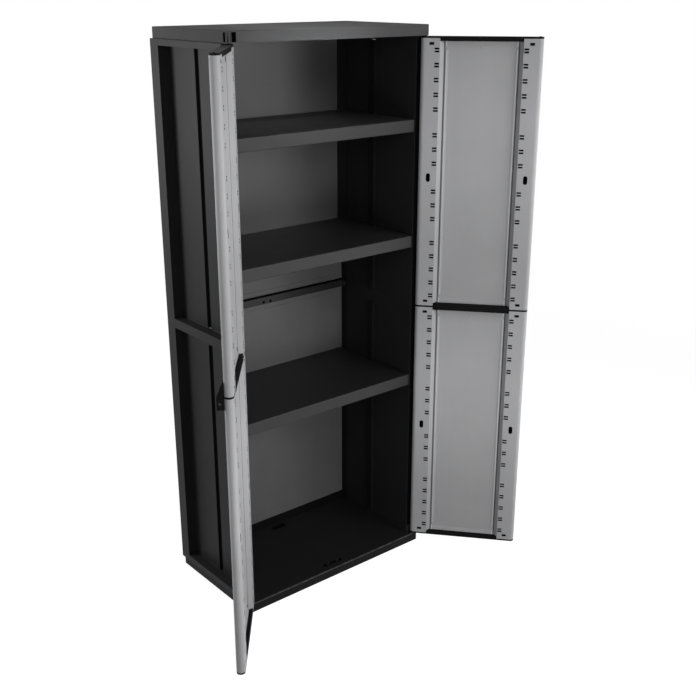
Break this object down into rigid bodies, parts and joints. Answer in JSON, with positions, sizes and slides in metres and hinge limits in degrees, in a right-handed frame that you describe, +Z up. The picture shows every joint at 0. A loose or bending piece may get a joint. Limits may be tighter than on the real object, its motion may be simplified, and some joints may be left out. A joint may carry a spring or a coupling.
{
  "type": "storage cabinet",
  "caption": "Tall free-standing plastic storage cabinet with hinged double doors, open shelf bays inside and padlock hasps on the doors",
  "frame": {"origin": "middle of the underside of the base, on the ground", "axes": "+Z up, front and doors toward -Y, +X to the right seen from the front"},
  "size_m": [1.1124, 0.6207, 1.635],
  "materials": {
    "dark_resin": "fine matt moulded grain",
    "pale_resin": "fine matt moulded grain",
    "black_resin": "satin moulded"
  },
  "bodies": {
    "cabinet": {"base": "dark_resin", "top_cap": "dark_resin", "left_side_lower_panel": "dark_resin", "left_side_upper_panel": "dark_resin", "right_side_lower_panel": "dark_resin", "right_side_upper_panel": "dark_resin", "back_lower_panel": "dark_resin", "back_upper_panel": "dark_resin", "back_joining_strip": "dark_resin", "upper_shelf": "dark_resin", "middle_shelf": "dark_resin", "lower_shelf": "dark_resin"},
    "left_door": {"left_door_lower_panel": "pale_resin", "left_door_upper_panel": "pale_resin", "left_door_top_cap": "black_resin", "left_door_connector": "black_resin", "left_door_bottom_cap": "black_resin", "left_door_hasp": "black_resin"},
    "right_door": {"right_door_lower_panel": "pale_resin", "right_door_upper_panel": "pale_resin", "right_door_top_cap": "black_resin", "right_door_connector": "black_resin", "right_door_bottom_cap": "black_resin", "right_door_hasp": "black_resin"}
  },
  "joints": [
    {"name": "left_door_hinge", "type": "hinge", "parent": "cabinet", "child": "left_door", "pos_m": [-0.328, -0.1755, 0.8], "axis": [0, 0, -1], "range_deg": [-128.75, 51.25]},
    {"name": "right_door_hinge", "type": "hinge", "parent": "cabinet", "child": "right_door", "pos_m": [0.328, -0.1755, 0.8], "axis": [0, 0, 1], "range_deg": [-130.4, 49.6]}
  ]
}
